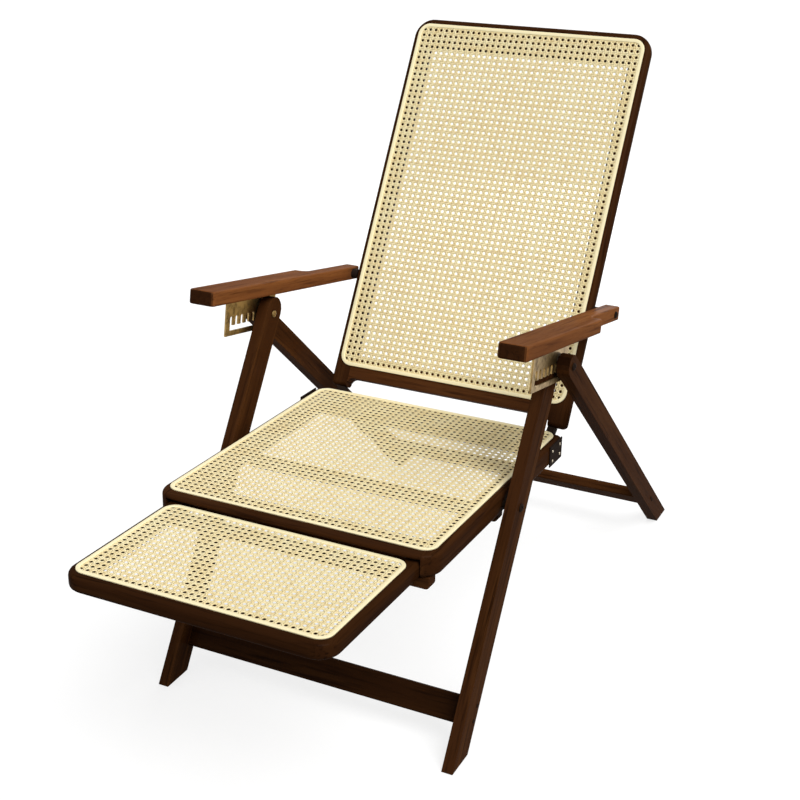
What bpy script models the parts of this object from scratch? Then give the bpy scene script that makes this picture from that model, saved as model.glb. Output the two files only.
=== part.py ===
"""Folding recliner chair in dark wood and cane, modelled piece by piece.

Front of the chair is -Y, +Z is up and the floor is z = 0. The chair stands in its open position with
the footrest pulled out. Each moving body hangs on an empty that sits on its joint axis.
"""
import math

import bmesh
import bpy

# Clearances, in metres.
GAP = 0.0003
ROUND_STEPS = 16

# Seat.
SEAT_PANEL_WIDTH = 0.473
SEAT_PANEL_LENGTH = 0.512
SEAT_FRONT_HEIGHT = 0.386
SEAT_TILT = math.radians(1.86)
SEAT_SIDE_THICKNESS = 0.022
SEAT_RAIL_HEIGHT = 0.038
SEAT_SIDE_LEDGE = 0.010
SEAT_FRONT_STRIP = 0.018
SEAT_REAR_STRIP = 0.0025
SEAT_LIP_DEPTH = 0.054
SEAT_LIP_THICKNESS = 0.0085
SEAT_REAR_RAIL_DEPTH = 0.035
SEAT_CORNER_RADIUS = 0.018
SEAT_REAR_RADIUS = 0.008
SEAT_BATTEN_WIDTH = 0.008
CORNER_PLATE_LENGTH = 0.056
CORNER_PLATE_THICKNESS = 0.002

# Cane panels: they stand a little proud of the wood, with a raised binding round the edge.
PANEL_PROUD = 0.0045
PANEL_BINDING_WIDTH = 0.008
PANEL_BINDING_RISE = 0.0012
PANEL_CORNER_RADIUS = 0.022
PANEL_OPENINGS = 8
PANEL_OPEN_SHARE = 0.56

# Footrest, which slides out from under the seat.
FOOT_SIDE_LEDGE = 0.0107
FOOT_PANEL_OUT = 0.272
FOOT_FRONT_STRIP = 0.0133
FOOT_SIDE_GAP = 0.0018
FOOT_SIDE_THICKNESS = 0.022
FOOT_RAIL_HEIGHT = 0.0275
FOOT_FRONT_RAIL_DEPTH = 0.034
FOOT_REAR_RAIL_DEPTH = 0.028
FOOT_LAP = 0.050
FOOT_CORNER_RADIUS = 0.018
BAR_HEIGHT = 0.018
BAR_DEPTH = 0.022
BAR_END_WIDTH = 0.012
BAR_CORNER_RADIUS = 0.008
FRONT_BAR_AT = 0.004
REAR_BAR_AT = 0.260

# Front legs.
SEAT_LEG_GAP = 0.0105
FRONT_LEG_THICKNESS = 0.0195
FRONT_LEG_DEPTH = 0.049
FRONT_LEG_TOP_RISE = 0.006
FRONT_LEG_LEAN = math.radians(32.66)
FRONT_FOOT_Y = 0.0256
FRONT_RAIL_THICKNESS = 0.020
FRONT_RAIL_WIDTH = 0.045
FRONT_RAIL_AT = 0.082
FRONT_RAIL_INSET = 0.0005
SEAT_PIVOT_HEIGHT = 0.352
SEAT_PIVOT_FORWARD = 0.0044

# Rear legs, on the pivot near the top of the front legs.
LEG_PIVOT_HEIGHT = 0.5525
LEG_PLAY = 0.0080
REAR_LEG_THICKNESS = 0.022
REAR_LEG_DEPTH = 0.0383
REAR_FOOT_Y = 0.9828
REAR_RAIL_THICKNESS = 0.020
REAR_RAIL_WIDTH = 0.042
REAR_RAIL_AT = 0.703

# Backrest.
BACK_LEAN = math.radians(30.8)
BACK_STEP_IN = 0.0083
BACK_PANEL_LENGTH = 0.687
BACK_PANEL_START = 0.0615
BACK_PANEL_FRONT = 0.004
BACK_SIDE_LEDGE = 0.0103
BACK_TOP_STRIP = 0.012
BACK_STILE_WIDTH = 0.034
BACK_THICKNESS = 0.025
BACK_FOOT_DROP = 0.0409
BACK_TOP_RAIL_WIDTH = 0.055
BACK_BOTTOM_RAIL_WIDTH = 0.045
BACK_BOTTOM_RAIL_DROP = 0.0228
BACK_ARCH_RADIUS = 0.012
BACK_CORNER_RADIUS = 0.018
BACK_FOOT_RADIUS = 0.010
BACK_HINGE_BEHIND = 0.0197
BACK_HINGE_DROP = 0.0245
HINGE_EYE_RADIUS = 0.009
HINGE_LUG_WIDTH = 0.013
HINGE_LUG_INSET = 0.0185
HINGE_BRACKET_WIDTH = 0.014

# Armrests and the notched plates that hang under them.
ARM_TILT = math.radians(11.1)
ARM_THICKNESS = 0.025
ARM_WIDTH = 0.050
ARM_TAIL_WIDTH = 0.0285
ARM_FRONT_REACH = 0.4894
ARM_PAD_END = 0.1404
ARM_TAIL_REACH = 0.024
ARM_SEAT_GAP = 0.005
ARM_FRONT_RADIUS = 0.008
ARM_STEP_RADIUS = 0.014
PLATE_THICKNESS = 0.003
PLATE_FRONT_MARGIN = 0.017
PLATE_REAR_MARGIN = 0.040
PLATE_FOOT_MARGIN = 0.0135
NOTCH_COUNT = 7
NOTCH_PITCH = 0.0171
NOTCH_HALF_WIDTH = 0.0045
NOTCH_DEPTH = 0.0165

# Bolts and pins.
BOLT_RADIUS = 0.004
BOLT_HEAD_RADIUS = 0.0060
BOLT_HEAD_HEIGHT = 0.0020
SHOULDER_RADIUS = 0.0065

# Small rounding on wooden edges.
WOOD_EASE = 0.0015

# Widths from the middle of the chair outwards.
SEAT_HALF = SEAT_PANEL_WIDTH / 2 + SEAT_SIDE_LEDGE
SEAT_INNER = SEAT_HALF - SEAT_SIDE_THICKNESS
FRONT_LEG_INNER = SEAT_HALF + SEAT_LEG_GAP
FRONT_LEG_OUTER = FRONT_LEG_INNER + FRONT_LEG_THICKNESS
REAR_LEG_INNER = FRONT_LEG_OUTER + LEG_PLAY
REAR_LEG_OUTER = REAR_LEG_INNER + REAR_LEG_THICKNESS
PLATE_X = (FRONT_LEG_OUTER + REAR_LEG_INNER) / 2
BACK_PANEL_WIDTH = SEAT_PANEL_WIDTH - 2 * BACK_STEP_IN
BACK_HALF = BACK_PANEL_WIDTH / 2 + BACK_SIDE_LEDGE
BACK_INNER = BACK_HALF - BACK_STILE_WIDTH
FOOT_HALF = SEAT_INNER - FOOT_SIDE_GAP
FOOT_INNER = FOOT_HALF - FOOT_SIDE_THICKNESS
FOOT_PANEL_WIDTH = 2 * (FOOT_HALF - FOOT_SIDE_LEDGE)
ARM_INNER = SEAT_HALF + ARM_SEAT_GAP

# Heights in the seat's own tilted frame, measured from the top of the panel.
SEAT_WOOD_TOP = -PANEL_PROUD
SEAT_WOOD_BOTTOM = SEAT_WOOD_TOP - SEAT_RAIL_HEIGHT
LIP_BOTTOM = SEAT_WOOD_TOP - SEAT_LIP_THICKNESS
FOOT_PANEL_TOP = LIP_BOTTOM - GAP
FOOT_WOOD_TOP = FOOT_PANEL_TOP - PANEL_PROUD
FOOT_WOOD_BOTTOM = FOOT_WOOD_TOP - FOOT_RAIL_HEIGHT
SEAT_REAR_FACE = SEAT_PANEL_LENGTH + SEAT_REAR_STRIP

# Joint axes, as (y, z) before the whole chair is centred on its box.
LEG_PIVOT = (FRONT_FOOT_Y + LEG_PIVOT_HEIGHT * math.tan(FRONT_LEG_LEAN), LEG_PIVOT_HEIGHT)
SEAT_PIVOT = (
    FRONT_FOOT_Y + SEAT_PIVOT_HEIGHT * math.tan(FRONT_LEG_LEAN)
    - SEAT_PIVOT_FORWARD / math.cos(FRONT_LEG_LEAN),
    SEAT_PIVOT_HEIGHT,
)
BACK_HINGE_S = SEAT_REAR_FACE + BACK_HINGE_BEHIND
BACK_HINGE = (
    BACK_HINGE_S * math.cos(SEAT_TILT) - BACK_HINGE_DROP * math.sin(SEAT_TILT),
    SEAT_FRONT_HEIGHT - BACK_HINGE_S * math.sin(SEAT_TILT) - BACK_HINGE_DROP * math.cos(SEAT_TILT),
)
# The armrest, backrest, seat and front leg make a parallelogram.
ARM_PIVOT = (
    BACK_HINGE[0] + LEG_PIVOT[0] - SEAT_PIVOT[0],
    BACK_HINGE[1] + LEG_PIVOT[1] - SEAT_PIVOT[1],
)
REAR_LEG_ANGLE = math.atan2(-LEG_PIVOT[1], REAR_FOOT_Y - LEG_PIVOT[0])

# The chair's origin is in the middle of its box, on the floor.
FOOT_FRONT_S = -FOOT_PANEL_OUT - FOOT_FRONT_STRIP
CHAIR_FRONT_Y = (FOOT_FRONT_S * math.cos(SEAT_TILT)
                 + FOOT_WOOD_BOTTOM * math.sin(SEAT_TILT))
CHAIR_REAR_Y = REAR_FOOT_Y + REAR_LEG_DEPTH / 2 / math.sin(-REAR_LEG_ANGLE)
ORIGIN_Y = (CHAIR_FRONT_Y + CHAIR_REAR_Y) / 2

SIDES = (("left", -1), ("right", 1))
ACROSS = (math.pi / 2, 0.0, math.pi / 2)
ALONG = (math.pi / 2, 0.0, 0.0)
FLAT = (0.0, 0.0, 0.0)

for old in list(bpy.data.objects):
    bpy.data.objects.remove(old, do_unlink=True)

PARTS = bpy.data.collections.new("folding_recliner_chair")
CUTTERS = bpy.data.collections.new("cutters")
bpy.context.scene.collection.children.link(PARTS)
bpy.context.scene.collection.children.link(CUTTERS)


def make_material(name, colour, roughness, metallic=0.0):
    """Return a Principled material."""
    made = bpy.data.materials.new(name)
    made.use_nodes = True
    shader = made.node_tree.nodes["Principled BSDF"]
    shader.inputs["Base Color"].default_value = (*colour, 1.0)
    shader.inputs["Roughness"].default_value = roughness
    shader.inputs["Metallic"].default_value = metallic
    return made


WOOD = make_material("dark_wood", (0.075, 0.032, 0.014), 0.38)
CANE = make_material("cane", (0.86, 0.73, 0.46), 0.55)
BRASS = make_material("brass", (0.62, 0.42, 0.14), 0.3, 1.0)
IRON = make_material("dark_iron", (0.03, 0.022, 0.018), 0.45, 0.8)


def make_empty(name, place, angle=0.0, parent=None):
    """Return an empty at (y, z), turned about X, that carries one body."""
    made = bpy.data.objects.new(name, None)
    PARTS.objects.link(made)
    made.empty_display_size = 0.05
    made.location = (0.0, place[0], place[1])
    made.rotation_euler = (angle, 0.0, 0.0)
    made.parent = parent
    return made


def add_part(name, mesh, material, parent, place=(0.0, 0.0, 0.0), turn=FLAT):
    """Link a mesh as one named piece under its empty."""
    mesh.materials.clear()
    mesh.materials.append(material)
    made = bpy.data.objects.new(name, mesh)
    PARTS.objects.link(made)
    made.parent = parent
    made.location = place
    made.rotation_euler = turn
    return made


def ease(piece, width=WOOD_EASE, segments=1):
    """Round a piece's sharp edges."""
    bevel = piece.modifiers.new("ease", "BEVEL")
    bevel.width = width
    bevel.segments = segments
    bevel.limit_method = "ANGLE"
    bevel.angle_limit = math.radians(50)
    return piece


def outline_mesh(name, loops, thickness):
    """Fill a flat outline with its holes and give it a thickness."""
    curve = bpy.data.curves.new(name, "CURVE")
    curve.dimensions = "2D"
    curve.fill_mode = "BOTH"
    curve.extrude = thickness / 2
    for loop in loops:
        spline = curve.splines.new("POLY")
        spline.points.add(len(loop) - 1)
        for point, (u, v) in zip(spline.points, loop):
            point.co = (u, v, 0.0, 1.0)
        spline.use_cyclic_u = True
    holder = bpy.data.objects.new(name, curve)
    bpy.context.scene.collection.objects.link(holder)
    depsgraph = bpy.context.evaluated_depsgraph_get()
    mesh = bpy.data.meshes.new_from_object(holder.evaluated_get(depsgraph))
    bpy.data.objects.remove(holder, do_unlink=True)
    bpy.data.curves.remove(curve)
    cleaned = bmesh.new()
    cleaned.from_mesh(mesh)
    bmesh.ops.remove_doubles(cleaned, verts=cleaned.verts, dist=0.00001)
    bmesh.ops.dissolve_limit(cleaned, angle_limit=0.001, verts=cleaned.verts, edges=cleaned.edges)
    bmesh.ops.recalc_face_normals(cleaned, faces=cleaned.faces)
    cleaned.to_mesh(mesh)
    cleaned.free()
    mesh.name = name
    return mesh


def box_mesh(name, size):
    """Return a box of a given size, centred on its origin."""
    made = bmesh.new()
    bmesh.ops.create_cube(made, size=1.0)
    bmesh.ops.scale(made, vec=size, verts=made.verts)
    mesh = bpy.data.meshes.new(name)
    made.to_mesh(mesh)
    made.free()
    return mesh


def add_box(name, low, high, material, parent):
    """Place an eased box between two corners of its parent's frame."""
    size = [b - a for a, b in zip(low, high)]
    middle = [(a + b) / 2 for a, b in zip(low, high)]
    return ease(add_part(name, box_mesh(name, size), material, parent, middle))


def arc(centre, radius, start, end, steps):
    """Return points on an arc, with both ends."""
    turn = [start + (end - start) * i / steps for i in range(steps + 1)]
    return [(centre[0] + radius * math.cos(a), centre[1] + radius * math.sin(a)) for a in turn]


def circle(centre, radius):
    """Return a closed round outline."""
    return arc(centre, radius, 0.0, 2 * math.pi, ROUND_STEPS)[:-1]


def rounded_rectangle(low, high, radius):
    """Return a rectangle with four round corners."""
    quarter = math.pi / 2
    corners = ((high[0], high[1]), (low[0], high[1]), (low[0], low[1]), (high[0], low[1]))
    inward = ((-1, -1), (1, -1), (1, 1), (-1, 1))
    points = []
    for i, (corner, way) in enumerate(zip(corners, inward)):
        centre = (corner[0] + way[0] * radius, corner[1] + way[1] * radius)
        points += arc(centre, radius, i * quarter, (i + 1) * quarter, 5)
    return points


def add_turned(name, profile, material, parent, place, side):
    """Turn a (radius, distance outwards) profile about an axis across the chair."""
    outside_first = sorted(profile, key=lambda point: -point[2])
    mesh = bpy.data.meshes.new(name)
    points = [(radius, 0.0, distance) for radius, distance, _ in outside_first]
    mesh.from_pydata(points, [(i, i + 1) for i in range(len(points) - 1)], [])
    piece = add_part(name, mesh, material, parent, place, (0.0, side * math.pi / 2, 0.0))
    screw = piece.modifiers.new("turn", "SCREW")
    screw.steps = ROUND_STEPS
    screw.render_steps = ROUND_STEPS
    screw.use_merge_vertices = True
    screw.merge_threshold = 0.00001
    return piece


def stepped(*sections):
    """Return a turned profile from (radius, from, to) sections, inside to outside."""
    profile = [(0.0, sections[0][1])]
    for radius, start, end in sections:
        profile += [(radius, start), (radius, end)]
    profile.append((0.0, sections[-1][2]))
    return [(radius, distance, order) for order, (radius, distance) in enumerate(profile)]


def cut_by(piece, mesh, place, turn=FLAT):
    """Cut a mesh out of a piece, at a place in its parent's frame."""
    cutter = bpy.data.objects.new(mesh.name, mesh)
    CUTTERS.objects.link(cutter)
    cutter.parent = piece.parent
    cutter.location = place
    cutter.rotation_euler = turn
    cutter.hide_render = True
    cutter.display_type = "WIRE"
    cut = piece.modifiers.new("cut", "BOOLEAN")
    cut.operation = "DIFFERENCE"
    cut.solver = "EXACT"
    cut.object = cutter
    return piece


def drill(piece, place, radius, length):
    """Cut a round hole across the chair through a piece, at a place in its parent's frame."""
    made = bmesh.new()
    bmesh.ops.create_cone(made, cap_ends=True, segments=ROUND_STEPS, radius1=radius,
                          radius2=radius, depth=length)
    mesh = bpy.data.meshes.new(piece.name + "_hole")
    made.to_mesh(mesh)
    made.free()
    return cut_by(piece, mesh, place, (0.0, math.pi / 2, 0.0))


def add_panel(name, low, high, top, parent):
    """Make a cane panel: a thin open sheet with rounded corners and a raised binding."""
    thickness = PANEL_PROUD - GAP
    mesh = outline_mesh(name, [rounded_rectangle(low, high, PANEL_CORNER_RADIUS)], thickness)
    edited = bmesh.new()
    edited.from_mesh(mesh)
    upper = [face for face in edited.faces if face.normal.z > 0.9]
    bmesh.ops.inset_region(edited, faces=upper, thickness=PANEL_BINDING_WIDTH,
                           depth=-PANEL_BINDING_RISE, use_even_offset=True)
    edited.to_mesh(mesh)
    edited.free()
    panel = add_part(name, mesh, CANE, parent, (0.0, 0.0, top - thickness / 2))
    first = [a + 2 * PANEL_BINDING_WIDTH for a in low]
    last = [b - 2 * PANEL_BINDING_WIDTH for b in high]
    rows = round(PANEL_OPENINGS * (last[1] - first[1]) / (last[0] - first[0]))
    steps = ((last[0] - first[0]) / PANEL_OPENINGS, (last[1] - first[1]) / rows)
    opened = bmesh.new()
    for column in range(PANEL_OPENINGS):
        for row in range(rows):
            cube = bmesh.ops.create_cube(opened, size=1.0)["verts"]
            bmesh.ops.scale(opened, vec=(steps[0] * PANEL_OPEN_SHARE, steps[1] * PANEL_OPEN_SHARE,
                                         thickness * 3), verts=cube)
            bmesh.ops.translate(opened, vec=(first[0] + steps[0] * (column + 0.5),
                                             first[1] + steps[1] * (row + 0.5), 0.0), verts=cube)
    opening_mesh = bpy.data.meshes.new(name + "_openings")
    opened.to_mesh(opening_mesh)
    opened.free()
    return cut_by(panel, opening_mesh, panel.location)


ROOT = make_empty("chair_origin", (-ORIGIN_Y, 0.0))
BOLT_HOLE = BOLT_RADIUS + GAP

# Front frame: two leaning legs and a low rail. Lengths run up the leg from the floor.
FRONT_AXIS = make_empty("front_leg_line", (FRONT_FOOT_Y, 0.0), math.pi / 2 - FRONT_LEG_LEAN, ROOT)
front_half = FRONT_LEG_DEPTH / 2
pivot_up = LEG_PIVOT_HEIGHT / math.cos(FRONT_LEG_LEAN)
floor_slope = front_half * math.tan(FRONT_LEG_LEAN)
seat_pivot_up = ((SEAT_PIVOT[0] - FRONT_FOOT_Y) * math.sin(FRONT_LEG_LEAN)
                 + SEAT_PIVOT[1] * math.cos(FRONT_LEG_LEAN))
front_leg_outline = [(floor_slope, -front_half)]
front_leg_outline += arc((pivot_up + FRONT_LEG_TOP_RISE, 0.0), front_half,
                         -math.pi / 2, math.pi / 2, 8)
front_leg_outline.append((-floor_slope, front_half))
front_leg_loops = [
    front_leg_outline,
    circle((pivot_up, 0.0), BOLT_HOLE),
    circle((seat_pivot_up, SEAT_PIVOT_FORWARD), BOLT_HOLE),
]
front_x = (FRONT_LEG_INNER + FRONT_LEG_OUTER) / 2
for side_name, side in SIDES:
    leg_mesh = outline_mesh("front_leg_" + side_name, front_leg_loops, FRONT_LEG_THICKNESS)
    ease(add_part("front_leg_" + side_name, leg_mesh, WOOD, FRONT_AXIS, (side * front_x, 0.0, 0.0), ACROSS))
    inner_bolt = stepped(
        (BOLT_HEAD_RADIUS, FRONT_LEG_INNER - GAP - BOLT_HEAD_HEIGHT, FRONT_LEG_INNER - GAP),
        (BOLT_RADIUS, FRONT_LEG_INNER - GAP, PLATE_X - PLATE_THICKNESS / 2 - GAP),
    )
    add_turned("leg_bolt_inner_" + side_name, inner_bolt, BRASS, FRONT_AXIS, (0.0, pivot_up, 0.0), side)
    washer_inner = FRONT_LEG_OUTER + GAP
    washer_outer = PLATE_X - PLATE_THICKNESS / 2 - GAP
    washer_mesh = outline_mesh("leg_washer_" + side_name,
                               [circle((0.0, 0.0), SHOULDER_RADIUS), circle((0.0, 0.0), BOLT_HOLE)],
                               washer_outer - washer_inner)
    add_part("leg_washer_" + side_name, washer_mesh, BRASS, FRONT_AXIS,
             (side * (washer_inner + washer_outer) / 2, pivot_up, 0.0), ACROSS)
    seat_bolt = stepped(
        (BOLT_RADIUS, SEAT_INNER, SEAT_HALF + GAP),
        (SHOULDER_RADIUS, SEAT_HALF + GAP, FRONT_LEG_INNER - GAP),
        (BOLT_RADIUS, FRONT_LEG_INNER - GAP, FRONT_LEG_OUTER + GAP),
        (SHOULDER_RADIUS, FRONT_LEG_OUTER + GAP, FRONT_LEG_OUTER + GAP + BOLT_HEAD_HEIGHT),
    )
    add_turned("seat_pivot_bolt_" + side_name, seat_bolt, IRON, FRONT_AXIS,
               (0.0, seat_pivot_up, SEAT_PIVOT_FORWARD), side)
rail_rear = FRONT_RAIL_INSET - front_half
add_box("front_rail",
        (GAP - FRONT_LEG_INNER, FRONT_RAIL_AT - FRONT_RAIL_WIDTH / 2, rail_rear),
        (FRONT_LEG_INNER - GAP, FRONT_RAIL_AT + FRONT_RAIL_WIDTH / 2, rail_rear + FRONT_RAIL_THICKNESS),
        WOOD, FRONT_AXIS)

# Rear frame: lengths run down the leg from its pivot.
REAR_AXIS = make_empty("rear_leg_axis", LEG_PIVOT, REAR_LEG_ANGLE, ROOT)
rear_half = REAR_LEG_DEPTH / 2
rear_length = math.hypot(REAR_FOOT_Y - LEG_PIVOT[0], LEG_PIVOT[1])
rear_slope = rear_half / math.tan(-REAR_LEG_ANGLE)
rear_leg_outline = arc((0.0, 0.0), rear_half, math.pi / 2, 3 * math.pi / 2, 8)
rear_leg_outline += [(rear_length - rear_slope, -rear_half), (rear_length + rear_slope, rear_half)]
rear_leg_loops = [rear_leg_outline, circle((0.0, 0.0), BOLT_HOLE)]
rear_x = (REAR_LEG_INNER + REAR_LEG_OUTER) / 2
for side_name, side in SIDES:
    leg_mesh = outline_mesh("rear_leg_" + side_name, rear_leg_loops, REAR_LEG_THICKNESS)
    ease(add_part("rear_leg_" + side_name, leg_mesh, WOOD, REAR_AXIS, (side * rear_x, 0.0, 0.0), ACROSS))
    outer_bolt = stepped(
        (SHOULDER_RADIUS, PLATE_X + PLATE_THICKNESS / 2 + GAP, REAR_LEG_INNER - GAP),
        (BOLT_RADIUS, REAR_LEG_INNER - GAP, REAR_LEG_OUTER + GAP),
        (BOLT_HEAD_RADIUS, REAR_LEG_OUTER + GAP, REAR_LEG_OUTER + GAP + BOLT_HEAD_HEIGHT),
    )
    add_turned("leg_bolt_outer_" + side_name, outer_bolt, IRON, REAR_AXIS, (0.0, 0.0, 0.0), side)
add_box("rear_rail",
        (GAP - REAR_LEG_INNER, REAR_RAIL_AT - REAR_RAIL_WIDTH / 2, -REAR_RAIL_THICKNESS / 2),
        (REAR_LEG_INNER - GAP, REAR_RAIL_AT + REAR_RAIL_WIDTH / 2, REAR_RAIL_THICKNESS / 2),
        WOOD, REAR_AXIS)

# Seat: turned about its pivot on the front legs, and drawn from the front edge of its panel.
SEAT_AXIS = make_empty("seat_axis", SEAT_PIVOT, -SEAT_TILT, ROOT)
seat_drop = SEAT_FRONT_HEIGHT - SEAT_PIVOT[1]
seat_pivot_s = SEAT_PIVOT[0] * math.cos(SEAT_TILT) + seat_drop * math.sin(SEAT_TILT)
seat_pivot_n = SEAT_PIVOT[0] * math.sin(SEAT_TILT) - seat_drop * math.cos(SEAT_TILT)
SEAT = make_empty("seat_datum", (-seat_pivot_s, -seat_pivot_n), 0.0, SEAT_AXIS)
seat_middle_z = (SEAT_WOOD_TOP + SEAT_WOOD_BOTTOM) / 2


def side_plan(inner, outer, front, rear, radius, side, rear_radius=0.0):
    """Return a side rail's plan, with its outer corners rounded."""
    quarter = math.pi / 2
    start = 0.0 if side > 0 else math.pi
    plan = [(side * inner, front), (side * inner, rear)]
    if rear_radius:
        plan += arc((side * (outer - rear_radius), rear - rear_radius), rear_radius, quarter, start, 5)
    else:
        plan.append((side * outer, rear))
    plan += arc((side * (outer - radius), front + radius), radius, start, start - side * quarter, 6)
    return plan


for side_name, side in SIDES:
    plan = side_plan(SEAT_INNER, SEAT_HALF, -SEAT_FRONT_STRIP, SEAT_REAR_FACE, SEAT_CORNER_RADIUS, side,
                     SEAT_REAR_RADIUS)
    rail_mesh = outline_mesh("seat_side_" + side_name, [plan], SEAT_RAIL_HEIGHT)
    rail = add_part("seat_side_" + side_name, rail_mesh, WOOD, SEAT, (0.0, 0.0, seat_middle_z))
    ease(rail)
    drill(rail, (side * (SEAT_INNER + SEAT_HALF) / 2, seat_pivot_s, seat_pivot_n), BOLT_HOLE,
          SEAT_SIDE_THICKNESS * 2)
    plate_end = SEAT_REAR_FACE - SEAT_REAR_RADIUS
    plate_low = (SEAT_HALF + GAP, plate_end - CORNER_PLATE_LENGTH, SEAT_WOOD_BOTTOM)
    plate_high = (SEAT_HALF + GAP + CORNER_PLATE_THICKNESS, plate_end, SEAT_WOOD_TOP)
    plate_x = side * (plate_low[0] + plate_high[0]) / 2
    plate_mesh = box_mesh("seat_corner_plate_" + side_name, [b - a for a, b in zip(plate_low, plate_high)])
    add_part("seat_corner_plate_" + side_name, plate_mesh, IRON, SEAT,
             (plate_x, (plate_low[1] + plate_high[1]) / 2, seat_middle_z))

    batten_edges = sorted((side * (SEAT_INNER - GAP), side * (SEAT_INNER - GAP - SEAT_BATTEN_WIDTH)))
    add_box("seat_batten_" + side_name,
            (batten_edges[0], SEAT_LIP_DEPTH - SEAT_FRONT_STRIP + GAP, LIP_BOTTOM),
            (batten_edges[1], SEAT_REAR_FACE - SEAT_REAR_RAIL_DEPTH - GAP, SEAT_WOOD_TOP), WOOD, SEAT)

    bracket_inner = BACK_HALF - HINGE_LUG_INSET - HINGE_LUG_WIDTH - GAP - HINGE_BRACKET_WIDTH
    bracket_x = side * (bracket_inner + HINGE_BRACKET_WIDTH / 2)
    bracket = [(SEAT_REAR_FACE + GAP, SEAT_WOOD_BOTTOM), (BACK_HINGE_S, -BACK_HINGE_DROP - HINGE_EYE_RADIUS)]
    bracket += arc((BACK_HINGE_S, -BACK_HINGE_DROP), HINGE_EYE_RADIUS, -math.pi / 2, math.pi / 2, 8)[1:]
    bracket.append((SEAT_REAR_FACE + GAP, SEAT_WOOD_TOP - HINGE_EYE_RADIUS))
    bracket_loops = [bracket, circle((BACK_HINGE_S, -BACK_HINGE_DROP), BOLT_HOLE)]
    bracket_mesh = outline_mesh("seat_hinge_bracket_" + side_name, bracket_loops, HINGE_BRACKET_WIDTH)
    add_part("seat_hinge_bracket_" + side_name, bracket_mesh, IRON, SEAT, (bracket_x, 0.0, 0.0), ACROSS)

add_box("seat_front_lip",
        (GAP - SEAT_INNER, -SEAT_FRONT_STRIP, LIP_BOTTOM),
        (SEAT_INNER - GAP, SEAT_LIP_DEPTH - SEAT_FRONT_STRIP, SEAT_WOOD_TOP), WOOD, SEAT)
add_box("seat_rear_rail",
        (GAP - SEAT_INNER, SEAT_REAR_FACE - SEAT_REAR_RAIL_DEPTH, SEAT_WOOD_BOTTOM),
        (SEAT_INNER - GAP, SEAT_REAR_FACE, SEAT_WOOD_TOP), WOOD, SEAT)
add_panel("seat_cane_panel", (-SEAT_PANEL_WIDTH / 2, 0.0), (SEAT_PANEL_WIDTH / 2, SEAT_PANEL_LENGTH), 0.0, SEAT)

# Two bars hang under the seat sides and carry the footrest.
bar_top = FOOT_WOOD_BOTTOM - GAP
bar_bottom = bar_top - BAR_HEIGHT
bar_half = SEAT_INNER + BAR_END_WIDTH
ear_top = SEAT_WOOD_BOTTOM - GAP
bar_outline = [(SEAT_INNER, bar_top), (SEAT_INNER, ear_top), (bar_half, ear_top)]
bar_outline += arc((bar_half - BAR_CORNER_RADIUS, bar_bottom + BAR_CORNER_RADIUS), BAR_CORNER_RADIUS,
                   0.0, -math.pi / 2, 5)
bar_outline += [(-x, z) for x, z in reversed(bar_outline)]
for bar_name, bar_at in (("footrest_front_bar", FRONT_BAR_AT), ("footrest_rear_bar", REAR_BAR_AT)):
    bar_mesh = outline_mesh(bar_name, [bar_outline], BAR_DEPTH)
    ease(add_part(bar_name, bar_mesh, WOOD, SEAT, (0.0, bar_at, 0.0), ALONG))

# Footrest: slides along the seat.
FOOTREST = make_empty("footrest_slide", (0.0, 0.0), 0.0, SEAT)
foot_middle_z = (FOOT_WOOD_TOP + FOOT_WOOD_BOTTOM) / 2
for side_name, side in SIDES:
    plan = side_plan(FOOT_INNER, FOOT_HALF, FOOT_FRONT_S, FOOT_LAP, FOOT_CORNER_RADIUS, side)
    rail_mesh = outline_mesh("footrest_side_" + side_name, [plan], FOOT_RAIL_HEIGHT)
    ease(add_part("footrest_side_" + side_name, rail_mesh, WOOD, FOOTREST, (0.0, 0.0, foot_middle_z)))
add_box("footrest_front_rail",
        (GAP - FOOT_INNER, FOOT_FRONT_S, FOOT_WOOD_BOTTOM),
        (FOOT_INNER - GAP, FOOT_FRONT_S + FOOT_FRONT_RAIL_DEPTH, FOOT_WOOD_TOP), WOOD, FOOTREST)
add_box("footrest_rear_rail",
        (GAP - FOOT_INNER, FOOT_LAP - FOOT_REAR_RAIL_DEPTH, FOOT_WOOD_BOTTOM),
        (FOOT_INNER - GAP, FOOT_LAP, FOOT_WOOD_TOP), WOOD, FOOTREST)
add_panel("footrest_cane_panel", (-FOOT_PANEL_WIDTH / 2, -FOOT_PANEL_OUT),
          (FOOT_PANEL_WIDTH / 2, FOOT_LAP - FOOT_FRONT_STRIP), FOOT_PANEL_TOP, FOOTREST)

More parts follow.
